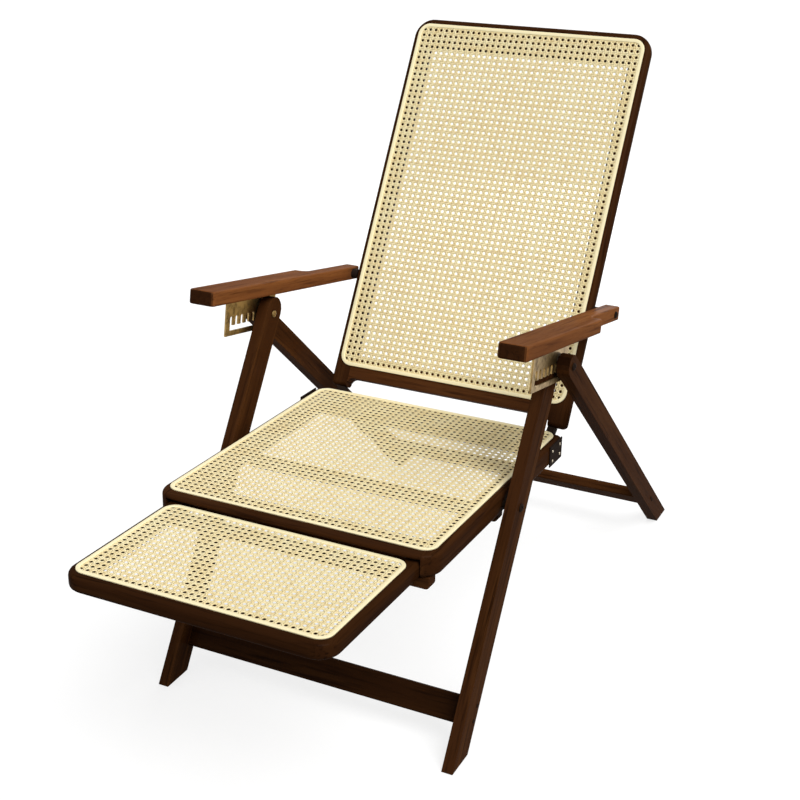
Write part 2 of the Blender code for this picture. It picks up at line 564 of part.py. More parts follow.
# Backrest: lengths run up the back from its hinge, and its normal faces the sitter.
BACK = make_empty("back_hinge_axis", BACK_HINGE, math.pi / 2 - BACK_LEAN, ROOT)
back_front = BACK_PANEL_FRONT - PANEL_PROUD
back_middle_z = back_front - BACK_THICKNESS / 2
back_foot = BACK_PANEL_START - BACK_FOOT_DROP
back_top = BACK_PANEL_START + BACK_PANEL_LENGTH + BACK_TOP_STRIP
bottom_rail_low = BACK_PANEL_START - BACK_BOTTOM_RAIL_DROP
for side_name, side in SIDES:
    plan = side_plan(BACK_INNER, BACK_HALF, -back_top, -back_foot, BACK_CORNER_RADIUS, side, BACK_FOOT_RADIUS)
    plan = [(x, -y) for x, y in plan]
    stile_mesh = outline_mesh("back_stile_" + side_name, [plan], BACK_THICKNESS)
    ease(add_part("back_stile_" + side_name, stile_mesh, WOOD, BACK, (0.0, 0.0, back_middle_z)), WOOD_EASE * 2, 2)

    lug_x = side * (BACK_HALF - HINGE_LUG_INSET - HINGE_LUG_WIDTH / 2)
    lug = [(back_foot - GAP, back_front - HINGE_EYE_RADIUS * 2), (back_foot - GAP, back_front)]
    lug += arc((0.0, 0.0), HINGE_EYE_RADIUS, math.pi / 2, 3 * math.pi / 2, 8)
    lug_loops = [lug, circle((0.0, 0.0), BOLT_HOLE)]
    lug_mesh = outline_mesh("back_hinge_lug_" + side_name, lug_loops, HINGE_LUG_WIDTH)
    add_part("back_hinge_lug_" + side_name, lug_mesh, IRON, BACK, (lug_x, 0.0, 0.0), ACROSS)
    lug_outer = BACK_HALF - HINGE_LUG_INSET
    pin = stepped(
        (HINGE_EYE_RADIUS, bracket_inner - GAP - BOLT_HEAD_HEIGHT, bracket_inner - GAP),
        (BOLT_RADIUS, bracket_inner - GAP, lug_outer + GAP),
        (HINGE_EYE_RADIUS, lug_outer + GAP, lug_outer + GAP + BOLT_HEAD_HEIGHT),
    )
    add_turned("back_hinge_pin_" + side_name, pin, IRON, BACK, (0.0, 0.0, 0.0), side)

# The lower rail drops to the stiles in a small arch at each end.
arch_half = BACK_INNER - GAP
arch_turn = arch_half - BACK_ARCH_RADIUS
rail_high = bottom_rail_low + BACK_BOTTOM_RAIL_WIDTH
arch = arc((arch_turn, bottom_rail_low - BACK_ARCH_RADIUS), BACK_ARCH_RADIUS, math.pi / 2, math.pi / 9, 5)
arch_rail = [(arch_half, rail_high), (arch_half, arch[-1][1])] + list(reversed(arch))
arch_rail += [(-x, y) for x, y in reversed(arch_rail)]
bottom_mesh = outline_mesh("back_bottom_rail", [arch_rail], BACK_THICKNESS)
ease(add_part("back_bottom_rail", bottom_mesh, WOOD, BACK, (0.0, 0.0, back_middle_z)))
add_box("back_top_rail", (-arch_half, back_top - BACK_TOP_RAIL_WIDTH, back_front - BACK_THICKNESS),
        (arch_half, back_top, back_front), WOOD, BACK)
add_panel("back_cane_panel", (-BACK_PANEL_WIDTH / 2, BACK_PANEL_START),
          (BACK_PANEL_WIDTH / 2, BACK_PANEL_START + BACK_PANEL_LENGTH), BACK_PANEL_FRONT, BACK)

# Armrests: lengths run rearwards from the bolt on the backrest.
ARM = make_empty("arm_axis", ARM_PIVOT, -ARM_TILT, ROOT)
pivot_run = LEG_PIVOT[0] - ARM_PIVOT[0]
pivot_rise = LEG_PIVOT[1] - ARM_PIVOT[1]
notch_u = pivot_run * math.cos(ARM_TILT) - pivot_rise * math.sin(ARM_TILT)
notch_v = pivot_run * math.sin(ARM_TILT) + pivot_rise * math.cos(ARM_TILT)
channel_v = notch_v - NOTCH_DEPTH
notch_places = [notch_u - NOTCH_PITCH * i for i in range(NOTCH_COUNT)]
plate_top = -ARM_THICKNESS / 2 - GAP
plate_foot = channel_v - PLATE_FOOT_MARGIN
plate_front = notch_places[-1] - PLATE_FRONT_MARGIN
plate_rear = notch_u + PLATE_REAR_MARGIN
plate_outline = [(plate_front, plate_top), (plate_front, plate_foot), (plate_rear, plate_foot),
                 (plate_rear, plate_top)]
# One channel with a row of notches that rise from it, where the leg bolt locks.
slot = [(notch_places[-1] - NOTCH_HALF_WIDTH, channel_v - NOTCH_HALF_WIDTH),
        (notch_u + NOTCH_HALF_WIDTH, channel_v - NOTCH_HALF_WIDTH)]
for index, place in enumerate(notch_places):
    if index:
        slot.append((place + NOTCH_HALF_WIDTH, channel_v + NOTCH_HALF_WIDTH))
    slot += arc((place, notch_v), NOTCH_HALF_WIDTH, 0.0, math.pi, 6)
    if index < NOTCH_COUNT - 1:
        slot.append((place - NOTCH_HALF_WIDTH, channel_v + NOTCH_HALF_WIDTH))

for side_name, side in SIDES:
    outer = ARM_INNER + ARM_WIDTH
    tail_outer = ARM_INNER + ARM_TAIL_WIDTH
    front = -ARM_FRONT_REACH
    r = ARM_FRONT_RADIUS
    s = ARM_STEP_RADIUS
    plan = arc((ARM_INNER + r, front + r), r, math.pi, 3 * math.pi / 2, 4)
    plan += arc((outer - r, front + r), r, -math.pi / 2, 0.0, 4)
    plan.append((outer, -ARM_PAD_END))
    plan += arc((tail_outer + s, s - ARM_PAD_END), s, -math.pi / 2, -math.pi, 5)
    plan += [(tail_outer, ARM_TAIL_REACH), (ARM_INNER, ARM_TAIL_REACH)]
    arm_plan = [(side * x, y) for x, y in plan]
    arm_mesh = outline_mesh("armrest_" + side_name, [arm_plan], ARM_THICKNESS)
    armrest = ease(add_part("armrest_" + side_name, arm_mesh, WOOD, ARM), WOOD_EASE * 2, 2)
    drill(armrest, (side * (ARM_INNER + ARM_TAIL_WIDTH / 2), 0.0, 0.0), BOLT_HOLE, ARM_TAIL_WIDTH * 2)
    plate_mesh = outline_mesh("notched_plate_" + side_name, [plate_outline, slot], PLATE_THICKNESS)
    add_part("notched_plate_" + side_name, plate_mesh, BRASS, ARM, (side * PLATE_X, 0.0, 0.0), ACROSS)
    spacer_mesh = outline_mesh("arm_spacer_" + side_name,
                               [circle((0.0, 0.0), HINGE_EYE_RADIUS), circle((0.0, 0.0), BOLT_HOLE)],
                               ARM_INNER - BACK_HALF - 2 * GAP)
    arm_bolt = stepped(
        (BOLT_RADIUS, BACK_HALF + GAP, tail_outer + GAP),
        (BOLT_HEAD_RADIUS, tail_outer + GAP, tail_outer + GAP + BOLT_HEAD_HEIGHT),
    )
    add_turned("arm_pivot_bolt_" + side_name, arm_bolt, IRON, ARM, (0.0, 0.0, 0.0), side)
    add_part("arm_spacer_" + side_name, spacer_mesh, IRON, ARM,
             (side * (ARM_INNER + BACK_HALF) / 2, 0.0, 0.0), ACROSS)

bpy.context.view_layer.update()
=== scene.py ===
"""Looks of the folding recliner chair: dark polished wood, woven cane, brass and iron."""
import math

import bmesh
import bpy
import numpy as np
from mathutils import Matrix, Vector


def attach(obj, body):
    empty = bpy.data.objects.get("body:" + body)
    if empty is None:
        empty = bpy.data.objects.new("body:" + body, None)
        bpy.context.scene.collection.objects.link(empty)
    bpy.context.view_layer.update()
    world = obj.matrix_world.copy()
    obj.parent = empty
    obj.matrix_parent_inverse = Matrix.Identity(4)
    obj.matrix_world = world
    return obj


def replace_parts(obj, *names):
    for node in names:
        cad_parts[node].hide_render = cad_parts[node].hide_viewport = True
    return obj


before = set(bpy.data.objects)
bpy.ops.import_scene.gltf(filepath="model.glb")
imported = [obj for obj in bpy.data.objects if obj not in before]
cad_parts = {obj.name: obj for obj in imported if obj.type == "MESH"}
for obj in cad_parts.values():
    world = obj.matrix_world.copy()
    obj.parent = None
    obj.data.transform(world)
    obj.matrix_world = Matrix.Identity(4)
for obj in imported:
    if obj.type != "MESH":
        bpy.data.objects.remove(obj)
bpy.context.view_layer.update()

bl_info = {
    "name": "Folding Recliner Chair",
    "version": (1, 0, 0),
    "blender": (4, 5, 0),
    "location": "View3D > Sidebar > Chair",
    "description": "Dresses the folding recliner chair in wood, cane, brass and iron",
    "category": "Object",
}

# The three cane panels, with the body that each rides on.
PANELS = (("seat_cane_panel", "seat"), ("footrest_cane_panel", "footrest"),
          ("back_cane_panel", "backrest"))

# The rounded frames: body, its panel, its side pieces, the rail between them, the tone of its wood
# (darker than the legs, as painted shade) and the end that is rounded.
RIMS = (("seat", "seat_cane_panel", "seat_side", "seat_front_lip", 0.80, -1),
        ("footrest", "footrest_cane_panel", "footrest_side", "footrest_front_rail", 0.60, -1),
        ("backrest", "back_cane_panel", "back_stile", "back_top_rail", 0.85, 1))

# Rails painted darker or lighter than the legs: the front rail darker as painted shade, the back's
# bottom rail lighter as painted light.
RAIL_PAINTED_SHADE_AND_LIGHT = (("front_rail", 0.45), ("back_bottom_rail", 1.5))

# Wooden pieces by the way their grain runs: along the chair's width, or at a lean in its side view.
ACROSS_GRAIN = ("front_rail", "rear_rail", "seat_front_lip", "seat_rear_rail", "footrest_front_bar",
                "footrest_rear_bar", "footrest_front_rail", "footrest_rear_rail", "back_top_rail",
                "back_bottom_rail")
LEANING_GRAIN = ("front_leg", "rear_leg", "seat_side", "seat_batten", "footrest_side", "back_stile",
                 "armrest")
BRASS_NODES = ("leg_bolt_inner", "leg_washer", "notched_plate")
IRON_NODES = ("seat_corner_plate", "seat_hinge_bracket", "back_hinge_pin", "back_hinge_lug",
              "leg_bolt_outer", "seat_pivot_bolt", "arm_pivot_bolt", "arm_spacer")
SIDES = (("left", -1), ("right", 1))

# Bolts with a slotted cap: piece, body (one for each side where it ends in "_"), whether the head faces
# inwards, finish and slot.
BOLTS = (("leg_bolt_outer", "rear_frame", False, "black_iron", "dark_iron"),
         ("seat_pivot_bolt", "front_frame", False, "black_iron", "dark_iron"),
         ("arm_pivot_bolt", "arm_tail_", False, "black_iron", "dark_iron"),
         ("leg_bolt_inner", "arm_bolt_", True, "aged_brass", "brass"))
HEAD_SEAT = 0.0019      # depth by which a cap covers the plain head
HEAD_COVER = 1.06       # radius of a cap over the radius of the plain head
FACE_DEPTH = 0.0002     # points this close to a bolt's end are on its face

# Screws of the rails: leg, body, rail and half the distance between the two screws.
RAIL_SCREWS = (("front_leg", "front_frame", "front_rail", 0.0125),
               ("rear_leg", "rear_frame", "rear_rail", 0.0055))

# Screws of a corner plate: places as shares of its depth and height, and size over a rail's screw.
CORNER_SCREWS = ((0.2, 0.26), (0.2, 0.72), (0.8, 0.26), (0.8, 0.72))
CORNER_SCREW_SIZE = 0.85

# A slotted head: rings from the seat to the top (radius, height), sides, and the slot's size and middle
# height, all over the head's radius, with the turn of the first slot and of each next one.
HEAD_RINGS = ((1.0, 0.0), (1.0, 0.16), (0.93, 0.30), (0.72, 0.46), (0.42, 0.54))
HEAD_SIDES = 20
SLOT_SIZE = (2.4, 0.24, 0.5)
SLOT_MIDDLE = 0.52
SLOT_TURN, SLOT_STEP = 0.7, 1.9

# Frames: radius of the corners at the plain end, steps of a corner, segments of a rounded edge, largest
# rounding as a share of a rail's height, the angle from which an edge stays sharp, and how near points
# count as one place or one level.
REAR_RADIUS = 0.009
CORNER_STEPS = 12
ROUND_SEGMENTS = 4
ROUND_LIMIT = 0.45
SHARP_ANGLE = math.radians(35)
SAME_PLACE = 1e-5
SAME_LEVEL = 1e-6

# Panels: gap to the seat's lip, depth below the solid's top, corner radius and its steps, the weave's
# depth below the binding's top, its inset, the binding's depth and its tone.
LIP_CLEAR = 0.0012
PANEL_DROP = 0.0018
PANEL_RADIUS = 0.022
PANEL_STEPS = 10
WEAVE_DEPTH = 0.0016
WEAVE_INSET = 0.0008
BINDING_DEPTH = 0.0026
BINDING_TONE = 0.95

# Strands: first seed, middle and spread of their tones, and how far they go over and under each other,
# as a share of their thickness.
FIRST_SEED = 3
TONE_MIDDLE, TONE_SPREAD = 0.42, 0.2
STRAIGHT_RISE = 0.55
SLANT_RISE = 0.95

# Colour that the stain leaves on cut ends of the wood, and how much of it shows.
END_GRAIN = (0.008, 0.0030, 0.0014)
END_SHARE = 0.85

# Size of the patches of wear on metal, and how much rougher they are.
WEAR_SIZE = 0.011
WEAR_ROUGHNESS = 0.2

# Stage: the camera's sensor in mm, the main light's place, the other lamps (name, place, width in
# metres, power in watts), the point that they aim at, the world's light, and the floor's own glow, size
# and drop.
SENSOR_WIDTH = 36.0
KEY_PLACE = (1.96, -1.07, 3.08)
LAMPS = (("fill", (-1.4, -2.8, 2.2), 2.6, 6.0), ("back", (-0.6, 3.0, 1.0), 2.0, 34.0))
LAMP_AIM = (0.0, 0.05, 0.4)
WORLD_LIGHT = 0.34
FLOOR_GLOW = 0.76
FLOOR_SIZE = 30.0
FLOOR_DROP = 0.0005


# Properties -----------------------------------------------------------------------------------------

def colour_property(name, description, default):
    """Return a linear colour property."""
    return bpy.props.FloatVectorProperty(name=name, description=description, default=default, size=3,
                                         min=0.0, max=1.0, subtype="COLOR")


def length_property(name, description, default):
    """Return a length property in metres."""
    return bpy.props.FloatProperty(name=name, description=description, default=default, min=0.0,
                                   precision=5, subtype="DISTANCE", unit="LENGTH")


class ChairWood(bpy.types.PropertyGroup):
    """Colours and grain of the polished wood."""
    dark: colour_property("Dark grain", "Colour of the dark streaks", (0.022, 0.0075, 0.0026))
    body: colour_property("Body", "Main colour of the wood", (0.047, 0.0162, 0.0050))
    gold: colour_property("Golden grain", "Colour of the light streaks", (0.076, 0.0278, 0.0080))
    # The armrests' wood is lightened as painted light, for their lit tops.
    arm_painted_light: bpy.props.FloatProperty(
        name="Armrest tone", description="How much lighter the armrests are", default=3.6, min=0.1,
        max=6.0, subtype="FACTOR")
    rim_radius: length_property("Rim radius", "Radius of the frames' corners", 0.036)
    rim_round: length_property("Rim rounding", "Rounding of the frames' outer edges", 0.009)
    grain_length: length_property("Grain length", "Length of a streak", 0.16)
    grain_width: length_property("Grain width", "Width of a streak", 0.007)


class ChairCane(bpy.types.PropertyGroup):
    """Size and colours of the woven cane."""
    pitch: length_property("Pitch", "Distance between neighbouring holes", 0.0114)
    strand_width: length_property("Strand width", "Width of an upright or level strand", 0.0031)
    slant_width: length_property("Slant width", "Width of a slanting strand", 0.0030)
    strand_height: length_property("Strand height", "Thickness of a strand", 0.0004)
    pair_gap: length_property("Pair gap", "Distance between the two strands of a pair", 0.0035)
    binding_width: length_property("Binding width", "Width of the smooth edge", 0.0070)
    straw: colour_property("Straw", "Main colour of the cane", (0.94, 0.775, 0.415))
    pale: colour_property("Pale", "Colour of the lightest strands", (0.98, 0.875, 0.55))
    honey: colour_property("Honey", "Colour of the darkest strands", (0.80, 0.61, 0.29))


class ChairMetal(bpy.types.PropertyGroup):
    """Colours and sizes of the fittings."""
    brass: colour_property("Brass", "Clean brass", (0.37, 0.245, 0.095))
    tarnish: colour_property("Tarnish", "Dull brass", (0.135, 0.086, 0.034))
    steel: colour_property("Steel", "Screw heads", (0.46, 0.40, 0.30))
    iron: colour_property("Iron", "Painted iron", (0.020, 0.013, 0.010))
    worn: colour_property("Worn", "Iron where the paint is worn", (0.045, 0.030, 0.022))
    screw_radius: length_property("Screw radius", "Radius of a screw's head", 0.0032)


class ChairStage(bpy.types.PropertyGroup):
    """Camera, floor and light."""
    camera_place: bpy.props.FloatVectorProperty(
        name="Camera place", description="Where the camera stands", size=3,
        default=(1.02717, -2.04736, 1.42049), subtype="TRANSLATION", unit="LENGTH")
    azimuth: bpy.props.FloatProperty(name="Azimuth", description="Turn of the camera about the upright",
                                     default=0.464024, subtype="ANGLE", unit="ROTATION")
    elevation: bpy.props.FloatProperty(name="Elevation", description="How far the camera looks down",
                                       default=0.403718, subtype="ANGLE", unit="ROTATION")
    lens: bpy.props.FloatProperty(name="Lens", description="Focal length on a 36 mm sensor",
                                  default=65.1455, unit="CAMERA")
    floor: colour_property("Floor", "Colour of the floor", (0.27, 0.27, 0.27))
    key_strength: bpy.props.FloatProperty(name="Key light", description="Strength of the main light",
                                          default=2.7, min=0.0)
    key_softness: bpy.props.FloatProperty(name="Key softness", description="How wide the main light is",
                                          default=0.7, subtype="ANGLE", unit="ROTATION")


class ChairSettings(bpy.types.PropertyGroup):
    """All sizes and colours of the chair's looks."""
    wood: bpy.props.PointerProperty(type=ChairWood, name="Wood", description="Polished wood")
    cane: bpy.props.PointerProperty(type=ChairCane, name="Cane", description="Woven cane")
    metal: bpy.props.PointerProperty(type=ChairMetal, name="Metal", description="Fittings")
    stage: bpy.props.PointerProperty(type=ChairStage, name="Stage",
                                     description="Camera, floor and light")


# Shader node groups ---------------------------------------------------------------------------------

def new_group(name, inputs, outputs):
    """Make a shader node group with named sockets and return its tree, entry and exit."""
    tree = bpy.data.node_groups.new(name, "ShaderNodeTree")
    for label, kind, value in inputs:
        socket = tree.interface.new_socket(name=label, in_out="INPUT", socket_type="NodeSocket" + kind)
        if value is not None:
            socket.default_value = value
    for label, kind in outputs:
        tree.interface.new_socket(name=label, in_out="OUTPUT", socket_type="NodeSocket" + kind)
    entry = tree.nodes.new("NodeGroupInput")
    leave = tree.nodes.new("NodeGroupOutput")
    return tree, entry, leave


def add_node(tree, kind, **values):
    """Add a node, set its own properties and its unlinked inputs."""
    node = tree.nodes.new("ShaderNode" + kind)
    for key, value in values.items():
        if key.startswith("in_"):
            node.inputs[key[3:].replace("_", " ")].default_value = value
        else:
            setattr(node, key, value)
    return node


def add_noise(tree, vector, scale, detail=3.0, roughness=0.5):
    """Add a noise texture over a vector."""
    node = add_node(tree, "TexNoise", in_Scale=scale, in_Detail=detail, in_Roughness=roughness)
    tree.links.new(vector, node.inputs["Vector"])
    return node


def add_range(tree, value, low, high, to_low=0.0, to_high=1.0):
    """Map a value from one range to another, clamped."""
    node = add_node(tree, "MapRange")
    node.inputs["From Min"].default_value = low
    node.inputs["From Max"].default_value = high
    node.inputs["To Min"].default_value = to_low
    node.inputs["To Max"].default_value = to_high
    tree.links.new(value, node.inputs["Value"])
    return node.outputs["Result"]


def add_mix(tree, factor, first, second):
    """Mix two colours, each a socket or a colour."""
    node = add_node(tree, "Mix", data_type="RGBA")
    tree.links.new(factor, node.inputs["Factor"])
    for name, value in (("A", first), ("B", second)):
        socket = next(s for s in node.inputs if s.name == name and s.type == "RGBA")
        if isinstance(value, bpy.types.NodeSocket):
            tree.links.new(value, socket)
        else:
            socket.default_value = (*value, 1.0)
    return next(s for s in node.outputs if s.type == "RGBA")


def add_maths(tree, operation, first, second):
    """Combine two values, each a socket or a number."""
    node = add_node(tree, "Math", operation=operation)
    for socket, value in zip(node.inputs, (first, second)):
        if isinstance(value, bpy.types.NodeSocket):
            tree.links.new(value, socket)
        else:
            socket.default_value = value
    return node.outputs["Value"]


def wood_grain_group():
    """Streaks along X, finer fibres and pores, with a colour, a roughness and a height."""
    tree, entry, leave = new_group(
        "wood_grain",
        (("Vector", "Vector", None), ("Streak Length", "Float", 0.16), ("Streak Width", "Float", 0.007),
         ("Dark", "Color", (0, 0, 0, 1)), ("Body", "Color", (0, 0, 0, 1)),
         ("Gold", "Color", (0, 0, 0, 1)), ("Facing", "Float", 0.0), ("End Grain", "Float", 0.0)),
        (("Color", "Color"), ("Roughness", "Float"), ("Height", "Float")))
    spread = add_node(tree, "CombineXYZ")
    along = add_maths(tree, "DIVIDE", 1.0, entry.outputs["Streak Length"])
    aside = add_maths(tree, "DIVIDE", 1.0, entry.outputs["Streak Width"])
    for source, name in ((along, "X"), (aside, "Y"), (aside, "Z")):
        tree.links.new(source, spread.inputs[name])
    stretched = add_node(tree, "VectorMath", operation="MULTIPLY")
    tree.links.new(entry.outputs["Vector"], stretched.inputs[0])
    tree.links.new(spread.outputs["Vector"], stretched.inputs[1])
    wave = add_noise(tree, stretched.outputs["Vector"], scale=0.22, detail=2.0)
    bent = add_node(tree, "VectorMath", operation="MULTIPLY_ADD")
    tree.links.new(wave.outputs["Color"], bent.inputs[0])
    wander = (0.4, 2.6, 2.6)
    bent.inputs[1].default_value = wander
    tree.links.new(stretched.outputs["Vector"], bent.inputs[2])
    broad = add_noise(tree, bent.outputs["Vector"], scale=0.33, detail=3.0, roughness=0.55)
    streak = add_noise(tree, bent.outputs["Vector"], scale=1.15, detail=4.0, roughness=0.6)
    fibre = add_noise(tree, stretched.outputs["Vector"], scale=7.0, detail=2.0, roughness=0.6)
    pale = add_range(tree, broad.outputs["Fac"], low=0.46, high=0.72)
    deep = add_range(tree, streak.outputs["Fac"], low=0.52, high=0.68)
    line = add_range(tree, fibre.outputs["Fac"], low=0.55, high=0.75, to_high=0.55)
    colour = add_mix(tree, pale, entry.outputs["Body"], entry.outputs["Gold"])
    colour = add_mix(tree, deep, colour, entry.outputs["Dark"])
    colour = add_mix(tree, line, colour, entry.outputs["Dark"])
    squared = add_maths(tree, "POWER", entry.outputs["Facing"], 2.0)
    ends = add_range(tree, squared, low=0.35, high=0.85)
    ends = add_maths(tree, "MULTIPLY", ends, entry.outputs["End Grain"])
    colour = add_mix(tree, ends, colour, END_GRAIN)
    rough = add_range(tree, fibre.outputs["Fac"], low=0.3, high=0.8, to_low=0.36, to_high=0.50)
    tree.links.new(colour, leave.inputs["Color"])
    tree.links.new(rough, leave.inputs["Roughness"])
    tree.links.new(fibre.outputs["Fac"], leave.inputs["Height"])
    return tree


def wear_group():
    """A mask of patches with a fine grain, for tarnish and worn paint."""
    tree, entry, leave = new_group(
        "wear", (("Vector", "Vector", None), ("Size", "Float", 0.012), ("Amount", "Float", 0.5)),
        (("Mask", "Float"), ("Height", "Float")))
    scaled = add_node(tree, "VectorMath", operation="SCALE")
    tree.links.new(entry.outputs["Vector"], scaled.inputs[0])
    tree.links.new(add_maths(tree, "DIVIDE", 1.0, entry.outputs["Size"]), scaled.inputs["Scale"])
    patch = add_noise(tree, scaled.outputs["Vector"], scale=1.0, detail=4.0, roughness=0.6)
    fine = add_noise(tree, scaled.outputs["Vector"], scale=9.0, detail=2.0, roughness=0.6)
    fine_share, least_wear, wear_span, blur = 0.35, 1.12, 0.75, 0.14
    summed = add_maths(tree, "ADD", patch.outputs["Fac"],
                       add_maths(tree, "MULTIPLY", fine.outputs["Fac"], fine_share))
    edge = add_maths(tree, "SUBTRACT", least_wear,
                     add_maths(tree, "MULTIPLY", entry.outputs["Amount"], wear_span))
    mask = add_node(tree, "MapRange")
    tree.links.new(summed, mask.inputs["Value"])
    tree.links.new(add_maths(tree, "SUBTRACT", edge, blur), mask.inputs["From Min"])
    tree.links.new(add_maths(tree, "ADD", edge, blur), mask.inputs["From Max"])
    tree.links.new(mask.outputs["Result"], leave.inputs["Mask"])
    tree.links.new(fine.outputs["Fac"], leave.inputs["Height"])
    return tree


def cane_fibre_group():
    """Colour of cane from strand to strand, with fine fibres along each strand."""
    tree, entry, leave = new_group(
        "cane_fibre",
        (("Vector", "Vector", None), ("Strand", "Float", 0.5), ("Straw", "Color", (1, 1, 1, 1)),
         ("Pale", "Color", (1, 1, 1, 1)), ("Honey", "Color", (1, 1, 1, 1))),
        (("Color", "Color"), ("Roughness", "Float"), ("Height", "Float")))
    blotch = add_noise(tree, entry.outputs["Vector"], scale=55.0, detail=3.0, roughness=0.55)
    fibre = add_noise(tree, entry.outputs["Vector"], scale=900.0, detail=2.0, roughness=0.6)
    strand_share, blotch_share = 0.55, 0.45
    tone = add_maths(tree, "ADD", add_maths(tree, "MULTIPLY", entry.outputs["Strand"], strand_share),
                     add_maths(tree, "MULTIPLY", blotch.outputs["Fac"], blotch_share))
    light = add_range(tree, tone, low=0.35, high=0.68)
    dark = add_range(tree, tone, low=0.40, high=0.16, to_high=0.75)
    line = add_range(tree, fibre.outputs["Fac"], low=0.52, high=0.72, to_high=0.28)
    colour = add_mix(tree, light, entry.outputs["Straw"], entry.outputs["Pale"])
    colour = add_mix(tree, dark, colour, entry.outputs["Honey"])
    colour = add_mix(tree, line, colour, entry.outputs["Honey"])
    rough = add_range(tree, fibre.outputs["Fac"], low=0.3, high=0.8, to_low=0.38, to_high=0.58)
    tree.links.new(colour, leave.inputs["Color"])
    tree.links.new(rough, leave.inputs["Roughness"])
    tree.links.new(fibre.outputs["Fac"], leave.inputs["Height"])
    return tree


def group_tree(name, make):
    """Return a node group, built the first time that it is asked for."""
    return bpy.data.node_groups.get(name) or make()


# Materials ------------------------------------------------------------------------------------------

def new_material(name):
    """Return a material with its tree, its shader and object coordinates."""
    made = bpy.data.materials.new(name)
    made.use_nodes = True
    tree = made.node_tree
    shader = tree.nodes["Principled BSDF"]
    place = tree.nodes.new("ShaderNodeTexCoord").outputs["Object"]
    return made, tree, shader, place


def add_group(tree, group, vector, **values):
    """Place a node group in a material and set its inputs."""
    node = tree.nodes.new("ShaderNodeGroup")
    node.node_tree = group
    tree.links.new(vector, node.inputs["Vector"])
    for name, value in values.items():
        socket = node.inputs[name.replace("_", " ")]
        if isinstance(value, bpy.types.NodeSocket):
            tree.links.new(value, socket)
        elif socket.type == "RGBA":
            socket.default_value = (*value, 1.0)
        else:
            socket.default_value = value
    return node


def add_bump(tree, shader, height, distance, strength):
    """Raise a surface by a height."""
    bump = add_node(tree, "Bump", in_Strength=strength, in_Distance=distance)
    tree.links.new(height, bump.inputs["Height"])
    tree.links.new(bump.outputs["Normal"], shader.inputs["Normal"])


def wood_material(name, lean=None, tone=1.0, ends=0.0):
    """Polished wood, its grain across the chair or along a lean in the chair's side view; a tone scales
    its colours, as painted shade on darkened pieces and painted light on lightened ones.
    """
    wood = bpy.context.scene.chair.wood
    made, tree, shader, place = new_material(name)
    vector, grain_way = place, (1.0, 0.0, 0.0)
    if lean is not None:
        grain_way = (0.0, math.cos(lean), math.sin(lean))
        turned = add_node(tree, "Mapping", in_Rotation=(-lean, 0.0, 0.0))
        tree.links.new(place, turned.inputs["Vector"])
        swap = add_node(tree, "SeparateXYZ")
        tree.links.new(turned.outputs["Vector"], swap.inputs["Vector"])
        joined = add_node(tree, "CombineXYZ")
        for source, target in (("Y", "X"), ("X", "Y"), ("Z", "Z")):
            tree.links.new(swap.outputs[source], joined.inputs[target])
        vector = joined.outputs["Vector"]
    grain = add_group(tree, group_tree("wood_grain", wood_grain_group), vector,
                      Dark=[c * tone for c in wood.dark], Body=[c * tone for c in wood.body],
                      Gold=[c * tone for c in wood.gold], Streak_Length=wood.grain_length,
                      Streak_Width=wood.grain_width, End_Grain=ends)
    facing = add_node(tree, "VectorMath", operation="DOT_PRODUCT")
    tree.links.new(place.node.outputs["Normal"], facing.inputs[0])
    facing.inputs[1].default_value = grain_way
    tree.links.new(facing.outputs["Value"], grain.inputs["Facing"])
    tree.links.new(grain.outputs["Color"], shader.inputs["Base Color"])
    tree.links.new(grain.outputs["Roughness"], shader.inputs["Roughness"])
    shader.inputs["Specular IOR Level"].default_value = 0.001
    shader.inputs["Coat Weight"].default_value = 0.015
    shader.inputs["Coat Roughness"].default_value = 0.18
    add_bump(tree, shader, grain.outputs["Height"], distance=0.00025, strength=0.35)
    return made


def metal_material(name, clean, dull, roughness, metallic, amount, gloss=0.5):
    """Metal or painted metal with an amount of duller, rougher patches."""
    made, tree, shader, place = new_material(name)
    wear = add_group(tree, group_tree("wear", wear_group), place, Size=WEAR_SIZE, Amount=amount)
    rough = add_range(tree, wear.outputs["Mask"], low=0.0, high=1.0, to_low=roughness,
                      to_high=roughness + WEAR_ROUGHNESS)
    tree.links.new(add_mix(tree, wear.outputs["Mask"], clean, dull), shader.inputs["Base Color"])
    tree.links.new(rough, shader.inputs["Roughness"])
    shader.inputs["Metallic"].default_value = metallic
    shader.inputs["Specular IOR Level"].default_value = gloss
    add_bump(tree, shader, wear.outputs["Height"], distance=0.0001, strength=0.25)
    return made


def cane_material(name):
    """Cane with a tone of its own on each strand."""
    cane = bpy.context.scene.chair.cane
    made, tree, shader, place = new_material(name)
    tone = add_node(tree, "Attribute", attribute_name="strand_tone")
    fibre = add_group(tree, group_tree("cane_fibre", cane_fibre_group), place,
                      Strand=tone.outputs["Fac"], Straw=cane.straw, Pale=cane.pale, Honey=cane.honey)
    tree.links.new(fibre.outputs["Color"], shader.inputs["Base Color"])
    tree.links.new(fibre.outputs["Roughness"], shader.inputs["Roughness"])
    add_bump(tree, shader, fibre.outputs["Height"], distance=0.00015, strength=0.3)
    return made


# Shapes ---------------------------------------------------------------------------------------------

def link_piece(name, mesh, material, body, place=None):
    """Link a mesh as a piece that rides on a body."""
    mesh.materials.append(material)
    made = bpy.data.objects.new(name, mesh)
    bpy.context.scene.collection.objects.link(made)
    if place is not None:
        made.matrix_world = place
    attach(made, body)
    return made


def dress(names, material):
    """Give CAD nodes their material."""
    for name in names:
        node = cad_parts[name]
        node.data.materials.clear()
        node.data.materials.append(material)


def node_points(name):
    """Return a CAD node's corner points."""
    return np.array([point.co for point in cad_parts[name].data.vertices], float)


def lean_of(name):
    """Return the angle of a piece's long direction in the chair's side view."""
    flat = node_points(name)[:, 1:]
    flat = flat - flat.mean(0)
    along = np.linalg.svd(flat, full_matrices=False)[2][0]
    if along[0] < 0:
        along = -along
    return math.atan2(along[1], along[0])


